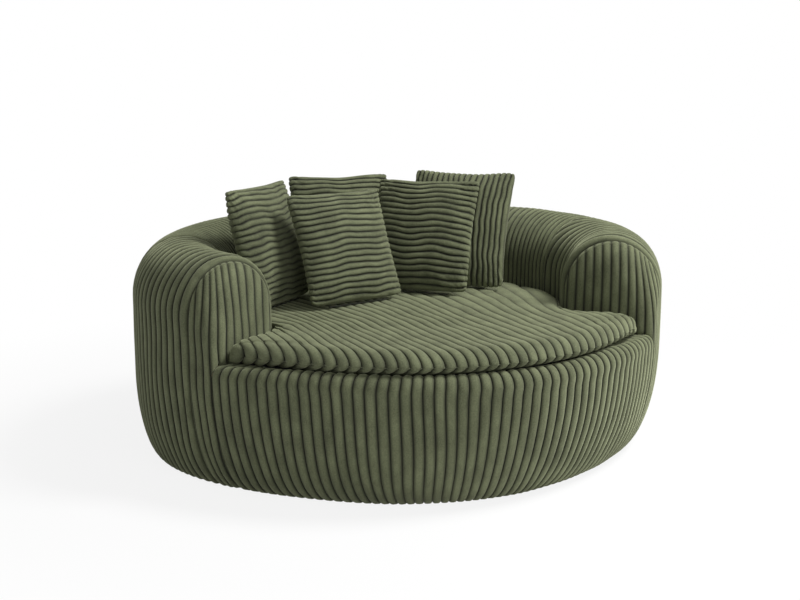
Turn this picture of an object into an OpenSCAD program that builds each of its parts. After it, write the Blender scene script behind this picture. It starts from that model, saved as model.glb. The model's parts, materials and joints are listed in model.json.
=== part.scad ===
// Round upholstered lounge chair: a drum base with a C-shaped arm and back roll,
// one loose seat cushion and five loose pillows, on a plywood frame with zigzag springs.
// Millimetres. Origin on the floor under the middle of the chair, front faces -Y, up is +Z.

/* [Overall] */
// Width over the arms
chair_w = 1600; // [1450:10:1800]
// Depth from the front panel to the back
chair_d = 1480; // [1380:10:1600]
// Height of the arm and back roll
roll_h = 645; // [600:5:700]
// How much the front shoulders of the outline are drawn in, as a share
shoulder_pull = 0.045; // [0:0.005:0.06]

/* [Base] */
// Height of the deck that the seat cushion lies on
deck_z = 370; // [350:5:390]
// How far the hem is tucked in at the sides
tuck_side = 80; // [60:5:100]
// How much more the hem is tucked in at the front, and less at the back
tuck_more = 75; // [40:5:78]
// Height over which the side wall draws in to the hem
tuck_side_h = 280; // [240:5:300]
// How much higher the tuck reaches at the front, and lower at the back
tuck_more_h = 115; // [60:5:130]
// Gap between the hem and the floor
hem_gap = 2; // [1:0.5:4]
// Thickness of the foam pad over the springs
deck_pad_t = 46.7; // [40:0.1:50]
// Radius of the front panel's top edge
front_edge_r = 30; // [20:2:36]
// Width of the front cover's fold under the cushion
front_fold = 80; // [60:5:100]

/* [Roll] */
// Width of the arm and back roll
roll_w = 293; // [270:1:310]
// Height of the roll's rounded top
roll_top_h = 159; // [130:1:170]
// Angle of the plan where each arm starts to round off
nose_start = -22; // [-23:1:-19]
// Angle of the plan where each arm's rounded end meets the front panel
nose_end = -32; // [-33:0.5:-30]
// Angle of the plan where the arm's face is sewn to the arm cover
face_seam = -25.5; // [-27:0.5:-24]
// Angle of the plan where the arm cover is sewn to the back cover
back_seam = 12; // [6:6:24]
// Angle of the plan where the back cover's side panels are sewn to the middle one
back_panel_seam = 66; // [48:6:78]
// How far the cuts across the arms turn away from square to the outline
cut_turn = 11; // [0:0.5:13]

/* [Upholstery] */
// Thickness of the cover with its backing
cover_t = 3; // [2:0.5:4]
// Thickness of the foam over the frame
foam_t = 29.5; // [20:0.5:34]
// Thickness of the liner board under the foam
liner_t = 3; // [2:0.5:4]
// Clearance between the layers
layer_gap = 0.3; // [0.2:0.1:0.6]
// Width of the cover's flange under the base board
flange_w = 45; // [30:1:55]

/* [Frame] */
// Thickness of the base board, deck board and formers
board_t = 18; // [15:1:21]
// Height of the glides
glide_h = 12; // [8:1:16]
// Diameter of the glides
glide_d = 50; // [36:2:60]
// Number of glides
glide_count = 8; // [6:1:12]
// Thickness of the dust cover
dust_t = 1; // [0.5:0.5:2]
// Shank diameter of the glide screws
screw_d = 5; // [4:0.5:6]
// Length of the glide screws
screw_l = 22; // [18:1:24]
// Side of the square posts
post_w = 45; // [35:1:55]
// Number of posts
post_count = 12; // [8:1:16]
// Width of the top rail
rail_w = 66; // [50:2:70]
// Thickness of the top rail
rail_t = 12; // [9:1:14]
// Width of the deck board between its opening and the roll behind
opening_back = 37; // [34:1:60]
// Distance of the deck board's opening from the front panel
opening_front = 270; // [240:10:320]

/* [Springs] */
// Diameter of the spring wire
wire_d = 4; // [3:0.5:5]
// Width of a zigzag spring
spring_w = 60; // [50:2:70]
// Distance between the runs of a spring
spring_pitch = 34; // [30:1:40]
// Distance between the springs
spring_gap = 130; // [120:2:136]
// Height of the spring clips
clip_h = 12; // [10:1:16]
// Diameter of the tie wires across the springs
tie_d = 3; // [2:0.5:4]

/* [Seat cushion] */
// Height of the seat cushion at its edge
cushion_t = 62; // [50:1:80]
// How much higher the cushion's crown is
cushion_crown = 16; // [8:1:24]
// Distance between the cover's ribs
cushion_rib = 30; // [28:0.5:32]
// Depth of the grooves between the ribs
cushion_groove = 5; // [3:0.5:8]
// Room for the wadding between the cushion's cover and its foam
cushion_wadding = 5.5; // [5:0.5:9]
// Gap between the cushion and the roll
cushion_gap = 8; // [5:1:14]
// Distance of the cushion's front edge from the outline
cushion_front = 4; // [0:1:16]
// Distance of the cushion's tips from the middle
cushion_tip_x = 604; // [590:2:620]
// Radius of the cushion's edge
cushion_edge = 30; // [24:1:36]

/* [Pillows] */
// Thickness of a pillow at its middle
pillow_t = 112; // [90:2:120]
// Distance between the ribs of a pillow
pillow_rib = 19; // [16:1:24]
// Depth of the grooves between the ribs
pillow_groove = 3; // [1:0.5:4]
// How far a pillow's sides draw in between its corners
pillow_draw = 12; // [6:1:20]
// Half of the seam's thickness at a pillow's edge
pillow_seam = 5; // [4:0.5:7]
// Width of a pillow's zip
zip_w = 7; // [5:0.5:8]
// Thickness of a zip
zip_t = 2.5; // [1.5:0.5:4]

/* [Hidden] */

cloth = [0.27, 0.31, 0.22];
foam_tint = [0.93, 0.88, 0.66];
timber = [0.80, 0.66, 0.46];
liner_tint = [0.55, 0.42, 0.30];
steel = [0.62, 0.63, 0.65];
dark = [0.12, 0.12, 0.12];

// Heights, from the floor up
dust_z = glide_h;
base_z = dust_z + dust_t;
base_top = base_z + board_t;
layer_in = cover_t + layer_gap;
foam_in = layer_in + foam_t;
liner_in = foam_in + layer_gap + liner_t;
frame_in = liner_in + layer_gap;
pad_top = deck_z - cover_t - layer_gap;
clip_z = pad_top - deck_pad_t;
deck_board_top = clip_z - clip_h;
deck_board_z = deck_board_top - board_t;
shoulder_z = roll_h - roll_top_h;
rail_drop = 8;
rail_top = roll_h - frame_in - rail_drop;
rail_z = rail_top - rail_t;
cushion_z = deck_z + layer_gap;
opening_d = chair_d - roll_w - opening_back - opening_front;
opening_y = opening_front + (opening_d - chair_d) / 2;

// Stations along the plan, in degrees from +X, shared by every layer, and heights up the wall
station = 6;
RING = concat([nose_end, face_seam, nose_start], [for (t = [-18:station:198]) t],
    [180 - nose_start, 180 - face_seam, 180 - nose_end], [for (t = [216:station:324]) t]);
GRID = concat(RING, [360 + nose_end, 360 + face_seam, 360 + nose_start]);
seam_play = 0.1;
// More clearance where two soft layers are divided differently
soft_play = 0.8;
// Stations lie at least this far apart, in degrees
least_step = 0.5;
wall_zs = [base_top + layer_gap, 70, 130, 210, 300];
arch_steps = 9;
nose_steps = 6;

// The plan: an ellipse, drawn in at its front shoulders
function shoulder(t) = sin(t) < 0 ? 1 - shoulder_pull * pow(sin(2 * t), 2) : 1;
function plan(t) = shoulder(t) * [chair_w / 2 * cos(t), chair_d / 2 * sin(t)];
function unit(v) = v / norm(v);
function outward(t) = let (e = 0.05, d = plan(t + e) - plan(t - e),
    turn = sin(t) < 0 ? -cut_turn * sin(2 * t) : 0, a = atan2(-d[0], d[1]) + turn) [cos(a), sin(a)];
function in_by(t, s) = plan(t) - s * outward(t);
function place(t, s, z) = let (p = in_by(t, s)) [p[0], p[1], z];
function heading(t) = let (n = outward(t)) atan2(n[1], n[0]);

// The wall draws in to the hem on a quarter of an ellipse
function tuck(t) = tuck_side - tuck_more * sin(t);
function tuck_h(t) = tuck_side_h - tuck_more_h * sin(t);
function tuck_turn(t, z) = z >= tuck_h(t) ? 90 : acos(1 - z / tuck_h(t));
function wall_in(t, z) = tuck(t) * (1 - sin(tuck_turn(t, z)));
function wall_lean(t, z) = let (k = tuck_turn(t, z)) unit([tuck_h(t) * sin(k), tuck(t) * cos(k)]);
function layer(t, z, depth) = wall_in(t, z) + depth / wall_lean(t, z)[0];

// The arm's rounded end: 1 along the roll, falling to 0 where it meets the front panel
function nose(t) = t >= nose_start && t <= 180 - nose_start ? 1
    : let (x = (nose_start - (t < 90 ? t : 180 - t)) / (nose_start - nose_end))
    pow(max(0, 1 - pow(x, 2.2)), 1 / 2.2);
function nose_plan(t) = t >= nose_start && t <= 180 - nose_start ? 1
    : let (x = (nose_start - (t < 90 ? t : 180 - t)) / (nose_start - nose_end)) 1 - pow(x, 2.6);
function inner_s(t) = 2 * front_edge_r + (roll_w - 2 * front_edge_r) * nose_plan(t);
function crest_z(t) = deck_z + (roll_h - deck_z) * nose(t);
function spring_line(t) = let (low = deck_z - front_edge_r) low + (shoulder_z - low) * nose(t);

// The roll's section as points [inset, height], at a depth under the skin: up the
// outer wall, over the top and down the inner wall
function arch(t, depth) = let (half = inner_s(t) / 2, z0 = spring_line(t), rise = crest_z(t) - z0)
    [for (i = [0:arch_steps]) let (a = 180 * i / arch_steps)
        [half - (half - depth) * cos(a), z0 + (rise - depth) * sin(a)]];
function wall(t, depth) = [for (z = wall_zs) [layer(t, z, depth), z]];
// The hem turns under the base board, to the flange that is stapled there
hem_turn = 6;
hem_round = 2;
function hem(t, depth) = let (z = hem_gap, n = wall_lean(t, z), s = wall_in(t, z))
    [[layer(t, base_z, cover_t) + flange_w, base_z - cover_t + depth - layer_gap],
        [layer(t, base_z, cover_t) + hem_turn, base_z - cover_t + depth - layer_gap],
        [s + depth * n[0] + hem_round, z + depth * n[1]],
        [layer(t, base_z, depth), base_z]];
function roll_section(t, depth, tuck_z) = concat(wall(t, depth), arch(t, depth),
    [[inner_s(t) - depth, tuck_z]]);
function cover_section(t, depth) = concat(hem(t, depth), roll_section(t, depth, clip_z + 4));
function front_section(t, depth) = let (r = front_edge_r, z0 = deck_z - r)
    concat(hem(t, depth), wall(t, depth),
        [for (a = [0:22.5:90]) [r - (r - depth) * cos(a), z0 + (r - depth) * sin(a)]],
        [[front_fold, deck_z - depth]]);
foam_play = 0.5;
function foam_front_section(t, depth) = let (r = front_edge_r, z0 = deck_z - r)
    concat(wall(t, depth), [for (a = [0, 45, 90]) let (c = max(r - depth - foam_play, 1))
        [depth + c - c * cos(a), z0 + c * sin(a)]]);

function stations(from, to) = [from, for (t = GRID) if (t > from + least_step && t < to - least_step) t, to];
function nose_stations() = [for (i = [0:nose_steps])
    face_seam + (nose_end - face_seam) * sin(90 * i / nose_steps)];

function arm_range(left) = left ? [180 - back_seam + seam_play / 2, 180 - face_seam]
    : [face_seam, back_seam - seam_play / 2];

// A sheet of cloth, foam or board between two grids of points
module sheet(outer, inner) {
    rows = len(outer);
    cols = len(outer[0]);
    n = rows * cols;
    points = concat([for (row = outer) each row], [for (row = inner) each row]);
    function quad(a, b, c, d) = [[a, b, c], [a, c, d]];
    faces = concat(
        [for (i = [0:rows - 2], j = [0:cols - 2]) let (a = i * cols + j)
            each quad(a, a + 1, a + cols + 1, a + cols)],
        [for (i = [0:rows - 2], j = [0:cols - 2]) let (a = n + i * cols + j)
            each quad(a, a + cols, a + cols + 1, a + 1)],
        [for (j = [0:cols - 2], i = [0, rows - 1]) let (a = i * cols + j)
            each i == 0 ? quad(a, a + n, a + n + 1, a + 1) : quad(a, a + 1, a + n + 1, a + n)],
        [for (i = [0:rows - 2], j = [0, cols - 1]) let (a = i * cols + j)
            each j == 0 ? quad(a, a + cols, a + n + cols, a + n)
                : quad(a, a + n, a + n + cols, a + cols)]);
    polyhedron(points, faces, convexity = 6);
}

// A solid through a row of closed loops, each with the same number of points. The ends
// are closed by a fan from one point, or by strips between the two halves of a loop
module stack(loops, paired = false, hub = 0) {
    cols = len(loops[0]);
    rows = len(loops);
    top = (rows - 1) * cols;
    faces = concat(
        [for (i = [0:rows - 2], j = [0:cols - 1]) let (a = i * cols, b = a + cols, k = (j + 1) % cols)
            each [[a + j, b + j, b + k], [a + j, b + k, a + k]]],
        paired ? [for (j = [0:cols / 2 - 1], m = [0, top]) let (a = m + j, b = m + j + 1,
            c = m + cols - j - 1, d = m + (cols - j) % cols,
            f = m == 0 ? [[a, b, c], [a, c, d]] : [[a, c, b], [a, d, c]])
            each j == 0 ? [f[0]] : j == cols / 2 - 1 ? [f[1]] : f]
        : [for (j = [1:cols - 2], m = [0, top]) let (a = m + hub, b = m + (hub + j) % cols,
            c = m + (hub + j + 1) % cols) m == 0 ? [a, b, c] : [a, c, b]]);
    polyhedron([for (loop = loops) each loop], faces, convexity = 6);
}

function laid(ts, section) = [for (i = [0:len(ts) - 1]) [for (p = section[i]) place(ts[i], p[0], p[1])]];
module both_sides(left) { mirror([left ? 1 : 0, 0, 0]) children(); }

// A horizontal board whose edge follows the wall at a height
module plan_board(z, depth, at_z) {
    translate([0, 0, z]) linear_extrude(board_t)
        polygon([for (t = RING) in_by(t, layer(t, at_z, depth))]);
}
module around(count, turn, inset_of) {
    for (i = [0:count - 1]) let (t = turn + 360 * i / count, p = in_by(t, layer(t, base_z, layer_in) + inset_of))
        translate([p[0], p[1], 0]) rotate([0, 0, heading(t)]) children();
}

// Base of the frame
module glide_places() { around(glide_count, 22.5, flange_w + glide_d / 2 + 6) children(); }
module dust_cover() {
    color(dark) translate([0, 0, dust_z]) difference() {
        linear_extrude(dust_t)
            polygon([for (t = RING) in_by(t, layer(t, base_z, layer_in) + flange_w + 2)]);
        glide_places() translate([0, 0, -1]) cylinder(d = screw_d + layer_gap, h = dust_t + 2, $fn = 32);
    }
}
module glides() {
    color(dark) glide_places() difference() {
        union() {
            cylinder(d = glide_d - 6, h = 2, $fn = 48);
            translate([0, 0, 2]) cylinder(d = glide_d, h = glide_h - 2, $fn = 48);
        }
        translate([0, 0, -1]) cylinder(d = screw_d + layer_gap, h = glide_h + 2, $fn = 32);
        translate([0, 0, -1]) cylinder(d = 2 * screw_d + 1, h = screw_d + 1, $fn = 32);
    }
}
module glide_screws() {
    color(steel) glide_places() translate([0, 0, screw_d / 2]) {
        translate([0, 0, screw_d / 2]) cylinder(d = screw_d, h = screw_l, $fn = 32);
        cylinder(d = 2 * screw_d, h = screw_d / 2, $fn = 32);
    }
}
module base_board() {
    color(timber) difference() {
        plan_board(base_z, layer_in, base_z);
        glide_places() translate([0, 0, base_z - 1])
            cylinder(d = screw_d + layer_gap, h = board_t, $fn = 32);
    }
}
module posts() {
    color(timber) around(post_count, 15, post_w + 14) translate([0, 0, base_top])
        translate([-post_w / 2, -post_w / 2, 0]) cube([post_w, post_w, deck_board_z - base_top]);
}
module deck_board() {
    color(timber) difference() {
        plan_board(deck_board_z, frame_in + former_play, deck_board_z);
        translate([0, opening_y, deck_board_z - 1])
            cylinder(d = opening_d, h = board_t + 2, $fn = 96);
    }
}

// Zigzag springs across the opening, held by clips on the deck board
spring_count = 6;
clip_back = 16;
clip_depth = 16;
spring_axis_z = deck_board_top + clip_h / 2;
function spring_x(i) = (i - (spring_count - 1) / 2) * spring_gap;
function spring_reach(i) = sqrt(pow(opening_d / 2, 2) - pow(abs(spring_x(i)) + spring_w / 2, 2)) + clip_back;
function spring_runs(i) = 2 * round(spring_reach(i) / spring_pitch);
function spring_y(i, k) = (k - spring_runs(i) / 2) * spring_pitch + opening_y;
spring_run = spring_w - spring_pitch;
module springs() {
    bend = spring_pitch / 2;
    run = spring_run;
    color(steel) for (i = [0:spring_count - 1]) translate([spring_x(i), 0, spring_axis_z]) {
        for (k = [0:spring_runs(i)]) translate([-run / 2, spring_y(i, k), 0])
            rotate([0, 90, 0]) cylinder(d = wire_d, h = run, $fn = 24);
        for (k = [0:spring_runs(i) - 1]) let (right = k % 2 == 0)
            translate([right ? run / 2 : -run / 2, spring_y(i, k) + bend, 0])
                rotate([0, 0, right ? -90 : 90]) rotate_extrude(angle = 180, $fn = 48)
                    translate([bend, 0]) circle(d = wire_d, $fn = 24);
    }
}
module spring_clips() {
    clip_w = spring_run - 4;
    color(steel) for (i = [0:spring_count - 1], end = [0, 1]) let (y = spring_y(i, end * spring_runs(i)))
        translate([spring_x(i), y, deck_board_top]) difference() {
            translate([-clip_w / 2, -clip_depth / 2, 0]) cube([clip_w, clip_depth, clip_h]);
            translate([-clip_w, 0, clip_h / 2]) rotate([0, 90, 0])
                cylinder(d = wire_d + 0.2, h = 2 * clip_w, $fn = 24);
        }
}
module tie_wires() {
    reach = spring_x(spring_count - 1) + spring_w / 2;
    color(steel) for (y = [-150, 90])
        translate([-reach, y, spring_axis_z + (wire_d + tie_d) / 2])
            rotate([0, 90, 0]) cylinder(d = tie_d, h = 2 * reach, $fn = 24);
}

// Formers of the roll, upright boards across it with an arched top
former_play = 2;
module former(t) {
    p = plan(t);
    depth = frame_in + former_play;
    points = [for (q = concat([[depth, deck_board_top]], arch(t, depth),
        [[inner_s(t) - depth, deck_board_top]])) [-q[0], min(q[1], rail_z)]];
    translate([p[0], p[1], 0]) rotate([90, 0, heading(t)])
        linear_extrude(board_t, center = true) polygon(points);
}
module arm_formers(left) {
    color(timber) both_sides(left) for (t = [nose_start + 3, -4, 9]) former(t);
}
module back_formers() { color(timber) for (t = [30:24:150]) former(t); }
module top_rail() {
    ts = stations(nose_start + 1, 179 - nose_start);
    mid = roll_w / 2;
    color(timber) translate([0, 0, rail_z]) linear_extrude(rail_t) polygon(concat(
        [for (t = ts) in_by(t, mid - rail_w / 2)],
        [for (i = [len(ts) - 1:-1:0]) in_by(ts[i], mid + rail_w / 2)]));
}

// Liner boards that close the frame
module liner(ts, rows) {
    sheet(laid(ts, [for (t = ts) rows(t, liner_in - liner_t)]), laid(ts, [for (t = ts) rows(t, liner_in)]));
}
function outer_liner_rows() = function (t, depth) concat(wall(t, depth), [[depth, shoulder_z]]);
function inner_liner_rows() = function (t, depth) [[inner_s(t) - depth, shoulder_z],
    [inner_s(t) - depth, deck_board_top + layer_gap]];
function front_liner_rows() = function (t, depth) wall(t, depth);
module outer_liner() { color(liner_tint) liner(stations(nose_start, 180 - nose_start), outer_liner_rows()); }
module inner_liner() { color(liner_tint) liner(stations(nose_start, 180 - nose_start), inner_liner_rows()); }
module front_liner() {
    color(liner_tint) liner(stations(180 - nose_start + 4 * seam_play, 360 + nose_start - 4 * seam_play), front_liner_rows());
}

// Foam over the liners and formers
module roll_foam(from, to) {
    ts = stations(from, to);
    bottom = deck_board_top + layer_gap;
    sheet(laid(ts, [for (t = ts) roll_section(t, layer_in, bottom)]),
        laid(ts, [for (t = ts) roll_section(t, foam_in, bottom)]));
}
module arm_foam(left) {
    color(foam_tint) roll_foam(arm_range(left)[0], arm_range(left)[1]);
}
module back_foam() { color(foam_tint) roll_foam(back_seam, 180 - back_seam); }
module front_foam() {
    ts = stations(180 - face_seam + seam_play, 360 + face_seam - seam_play);
    color(foam_tint) sheet(laid(ts, [for (t = ts) foam_front_section(t, layer_in)]),
        laid(ts, [for (t = ts) foam_front_section(t, foam_in)]));
}
module nose_pad(left) {
    ts = [for (i = [0:nose_steps - 1]) nose_stations()[i] - seam_play / 2];
    low = deck_z + layer_gap;
    color(foam_tint) both_sides(left) stack([for (t = ts) let (q = arch(t, layer_in + soft_play))
        [for (p = q) place(t, p[0], max(p[1], low - 1 + p[1] / 1000))]]);
}
function deck_stations() = concat(stations(face_seam, 180 - face_seam),
    [for (i = [1:nose_steps]) 180 - nose_stations()[i]],
    stations(180 - nose_end + 4 * seam_play, 360 + nose_end - 4 * seam_play),
    [for (i = [nose_steps:-1:1]) 360 + nose_stations()[i]]);
function deck_in(t, front) = let (u = t > 270 ? t - 360 : t)
    u >= nose_end && u <= 180 - nose_end ? max(inner_s(u) + layer_gap, front) : front;
module deck_sheet(z, thick, front) {
    translate([0, 0, z]) linear_extrude(thick)
        polygon([for (t = deck_stations()) in_by(t, deck_in(t, front))]);
}
module deck_pad() { color(foam_tint) deck_sheet(clip_z, pad_top - clip_z, foam_in + 8); }
module deck_cloth() { color(dark) deck_sheet(deck_z - cover_t, cover_t, front_fold + layer_gap); }

// Covers of wide-ribbed corduroy, drawn smooth
module cover(ts) {
    sheet(laid(ts, [for (t = ts) cover_section(t, 0)]), laid(ts, [for (t = ts) cover_section(t, cover_t)]));
}
module arm_cover(left) { color(cloth) cover(stations(arm_range(left)[0], arm_range(left)[1])); }
module back_cover(panel) {
    seams = [back_seam, back_panel_seam, 180 - back_panel_seam, 180 - back_seam];
    play = seam_play / 2;
    color(cloth) cover(stations(seams[panel] + (panel == 0 ? 0 : play),
        seams[panel + 1] - (panel == 2 ? 0 : play)));
}
module arm_face(left) {
    ts = nose_stations();
    color(cloth) both_sides(left) cover([for (i = [len(ts) - 1:-1:0]) ts[i] - seam_play / 2]);
}
module front_cover() {
    ts = stations(180 - nose_end + seam_play, 360 + nose_end - seam_play);
    color(cloth) sheet(laid(ts, [for (t = ts) front_section(t, 0)]),
        laid(ts, [for (t = ts) front_section(t, cover_t)]));
}

// Seat cushion: sections from the front edge to the back, one at each rib and groove.
// Behind, the outline follows the roll's inner wall and the arms' faces; an inset draws it in
function face_wall(t) = in_by(t, inner_s(t));
function face_at(t, s) = let (d = unit(face_wall(t + 0.05) - face_wall(t - 0.05))) face_wall(t) + s * [-d[1], d[0]];
function wall_t(x, s, low, high, steps = 22) = let (mid = (low + high) / 2)
    steps == 0 ? mid : in_by(mid, s)[0] < x ? wall_t(x, s, mid, high, steps - 1)
        : wall_t(x, s, low, mid, steps - 1);
function face_t(x, s, low, high, steps = 16) = let (mid = (low + high) / 2)
    steps == 0 ? mid : face_at(mid, s)[0] < x ? face_t(x, s, mid, high, steps - 1)
        : face_t(x, s, low, mid, steps - 1);
side_share = 0.9;
corner_share = 2 / 3;
tip_pull = 52;
function corner_x(inset) = face_at(face_seam, cushion_gap + inset)[0];
function tip_x(inset) = cushion_tip_x - 2.2 * inset;
function front_edge(x, inset) = let (s = cushion_front + inset, p = abs(x))
    [x, in_by(wall_t(p, s, 270, 350), s)[1] + tip_pull * pow(p / cushion_tip_x, 5)];
function back_point(p, inset) = let (gap = cushion_gap + inset, s = roll_w + gap, c = corner_x(inset),
        far = 0.985 * in_by(0, s)[0], f = p / c, far_t = wall_t(far, s, 90, 0),
        h = (f - side_share) / (1 - side_share) / corner_share, last = face_at(nose_end, gap))
    f <= side_share ? in_by(wall_t(far * f / side_share, s, 90, 0), s)
    : f < 1 ? in_by(far_t + (nose_start - far_t) * min(h, 1), s)
    : p < last[0] ? [p, face_at(face_t(p, gap, face_seam, nose_end), gap)[1]]
    : [p, last[1] - (p - last[0])];
function back_edge(x, inset) = let (q = back_point(abs(x), inset)) [x < 0 ? -q[0] : q[0], q[1]];
function crown(x, f) = cushion_crown * (1 - pow(x / cushion_tip_x, 2)) * sin(180 * f);
function cushion_top(x, y) = let (a = front_edge(x, 0), b = back_edge(x, 0))
    cushion_z + cushion_t + crown(x, (y - a[1]) / (b[1] - a[1]));
function across(shares, tips, inset) = let (c = corner_x(inset), e = tip_x(inset),
        right = concat([for (f = shares) f * c], [for (i = [1:tips]) c + (e - c) * i / tips]))
    concat([for (i = [len(right) - 1:-1:0]) -right[i]], [0], right);
// A section runs straight back to a bend beside the arms' corners, then out to the roll
bend_before = 30;
function cushion_bend(x, inset, a, b) = abs(x) <= corner_x(inset)
    ? [x, face_at(face_seam, cushion_gap + inset)[1] - bend_before] : (a + b) / 2;
function cushion_loop(x, inset, groove) = let (a = front_edge(x, inset), b = back_edge(x, inset),
        c = cushion_bend(x, inset, a, b), shrink = groove * 0.7, way_a = unit(c - a), way_b = unit(b - c),
        front = norm(c - a) - shrink, back = norm(b - c) - shrink, from = a + shrink * way_a,
        to = b - shrink * way_b, e = min(cushion_edge, 0.8 * front), g = min(cushion_edge, 0.8 * back),
        end = pow(1 - pow(abs(x) / (cushion_tip_x + 14 - 2 * inset), 14), 0.5),
        tall = (cushion_t - inset * 2 - groove) * end, f = front / (front + back))
    [for (q = [[from + 0.4 * e * way_a, 0], [from, 0.36 * tall], [from + 0.22 * e * way_a, 0.78 * tall],
            [from + e * way_a, tall], [from + front / 2 * way_a, tall + crown(x, f / 2)],
            [c, tall + crown(x, f)], [to - g * way_b, tall], [to - 0.22 * g * way_b, 0.78 * tall],
            [to, 0.36 * tall], [to - 0.4 * g * way_b, 0], [c, 0]])
        [q[0][0], q[0][1], cushion_z + inset + q[1]]];
module cushion_body(xs, inset, groove) {
    stack([for (i = [len(xs) - 1:-1:0]) cushion_loop(xs[i], inset, i % 2 == 0 ? groove : 0)], hub = 5);
}
middle_ribs = round(corner_x(0) / cushion_rib);
tip_ribs = round((cushion_tip_x - corner_x(0)) / cushion_rib);
cushion_in = cover_t + cushion_groove;
inner_shares = [0.25, 0.5, 0.75, side_share, 28 / 30, 29 / 30, 1];
module cushion_cover() {
    color(cloth) difference() {
        cushion_body(across([for (i = [1:2 * middle_ribs]) i / 2 / middle_ribs], 2 * tip_ribs, 0),
            0, cushion_groove);
        cushion_body(across(inner_shares, 3, cushion_in), cushion_in, 0);
        zip_strip(-cushion_in - zip_t, zip_t, zip_w);
    }
}
module cushion_foam() {
    inset = cushion_in + cushion_wadding;
    color(foam_tint) cushion_body(across(inner_shares, 3, inset), inset, 0);
}
// The zip behind, and the slot that it closes
module zip_strip(low, high, width) {
    z = cushion_z + 0.36 * cushion_t;
    stack([for (t = [66:station:114]) [for (p = [[low, -width / 2], [low, width / 2],
        [high, width / 2], [high, -width / 2]]) place(t, roll_w + cushion_gap - p[0], z + p[1])]]);
}
module cushion_zip() { color(dark) zip_strip(-soft_play, zip_t - soft_play, zip_w - 1); }

// Pillows: [x, y, turn, lean, roll, width, height, ribs run up] of each one's foot
PILLOWS = [[-362, 50, 46, 14, 0, 340, 376, false], [-98, 266, -1, 20, 0, 342, 370, false],
    [-150, -42, 19, 23, 0, 344, 356, false], [66, 72, -36, 22, 0, 346, 368, false],
    [212, 148, -36, 22, 0, 353, 384, true]];
pillow_in = cover_t + pillow_groove;
cavity_sections = 6;
zip_share = 0.6;
// How far a pillow's foot settles into the grooves of what it stands on
foot_sink = 1.9;
function puff(v) = pow(max(0, 1 - pow(abs(v), 2.6)), 0.55);
function pillow_half(v, inset) = pillow_seam + (pillow_t / 2 - pillow_seam) * puff(v) - inset;
function drawn(v) = pillow_draw * (1 - v * v);
// A section at a share v from the foot, -1, to the top, 1
function flat_loop(p, v, inset, groove) = let (w = p[5] / 2 - 2 * inset - drawn(v) - groove / 2,
        t = max(pillow_half(v, inset) - groove, 1))
    [for (a = [0:36:359]) let (u = cos(a), s = sin(a))
        [w * u, t * sign(s) * pow(abs(s), 0.8),
            2 * inset + (p[6] / 2 - 2 * inset) * (1 + v) - (v > 0 ? pow(v, 4) * drawn(u) : 0)]];
// A section at a share u from the left edge, -1, to the right edge, 1
function upright_loop(p, u, inset, groove) = let (t = max(pillow_half(u, inset) - groove, 1),
        low = 2 * inset, high = p[6] - 2 * inset - drawn(u) - groove / 2)
    [for (a = [0:36:359]) let (v = cos(a), s = sin(a))
        [(p[5] / 2 - 2 * inset) * u - sign(u) * pow(u, 4) * drawn(v), t * sign(s) * pow(abs(s), 0.8),
            (low + high) / 2 + (high - low) / 2 * v]];
module pillow_body(p, sections, inset, groove) {
    loops = [for (i = [0:sections]) let (v = 2 * i / sections - 1, g = i % 2 == 0 ? groove : 0)
        p[7] ? upright_loop(p, v, inset, g) : flat_loop(p, v, inset, g)];
    stack(p[7] ? [for (i = [sections:-1:0]) loops[i]] : loops, true);
}
function foot_drop(p) = max([for (z = [0:2:40]) pillow_half(2 * z / p[6] - 1, 0) * sin(p[3]) - z * cos(p[3])]);
function foot_z(p) = max([for (u = [-1:0.25:1]) cushion_top(p[0] + u * p[5] / 2 * cos(p[2]),
    p[1] + u * p[5] / 2 * sin(p[2]))])
    + max(foot_drop(p), zip_t * cos(p[3]) + zip_w / 2 * sin(p[3])) - foot_sink;
module at_pillow(p) {
    translate([p[0], p[1], foot_z(p)]) rotate([0, 0, p[2]]) rotate([-p[3], 0, 0]) rotate([0, p[4], 0])
        children();
}
module pillow_cover(i) {
    p = PILLOWS[i];
    ribs = round((p[7] ? p[5] : p[6]) / pillow_rib);
    color(cloth) at_pillow(p) difference() {
        pillow_body(p, 2 * ribs, 0, pillow_groove);
        pillow_body(p, cavity_sections, pillow_in, 0);
    }
}
module pillow_fill(i) {
    color(foam_tint) at_pillow(PILLOWS[i])
        pillow_body(PILLOWS[i], cavity_sections, pillow_in + layer_gap, 0);
}
module pillow_zip(i) {
    l = PILLOWS[i][5] * zip_share;
    color(dark) at_pillow(PILLOWS[i]) translate([-l / 2, -zip_w / 2, -zip_t]) cube([l, zip_w, zip_t]);
}

dust_cover();
glides();
glide_screws();
base_board();
posts();
deck_board();
springs();
spring_clips();
tie_wires();
arm_formers(true);  // arm_formers_left
arm_formers(false);  // arm_formers_right
back_formers();
top_rail();
outer_liner();
inner_liner();
front_liner();
arm_foam(true);  // arm_foam_left
arm_foam(false);  // arm_foam_right
back_foam();
front_foam();
nose_pad(true);  // nose_pad_left
nose_pad(false);  // nose_pad_right
deck_pad();
deck_cloth();
arm_cover(true);  // arm_cover_left
arm_cover(false);  // arm_cover_right
arm_face(true);  // arm_face_left
arm_face(false);  // arm_face_right
back_cover(2);  // back_cover_left
back_cover(1);  // back_cover_middle
back_cover(0);  // back_cover_right
front_cover();
cushion_cover();
cushion_foam();
cushion_zip();
pillow_cover(0);  // pillow_1_cover
pillow_fill(0);  // pillow_1_fill
pillow_zip(0);  // pillow_1_zip
pillow_cover(1);  // pillow_2_cover
pillow_fill(1);  // pillow_2_fill
pillow_zip(1);  // pillow_2_zip
pillow_cover(2);  // pillow_3_cover
pillow_fill(2);  // pillow_3_fill
pillow_zip(2);  // pillow_3_zip
pillow_cover(3);  // pillow_4_cover
pillow_fill(3);  // pillow_4_fill
pillow_zip(3);  // pillow_4_zip
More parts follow.
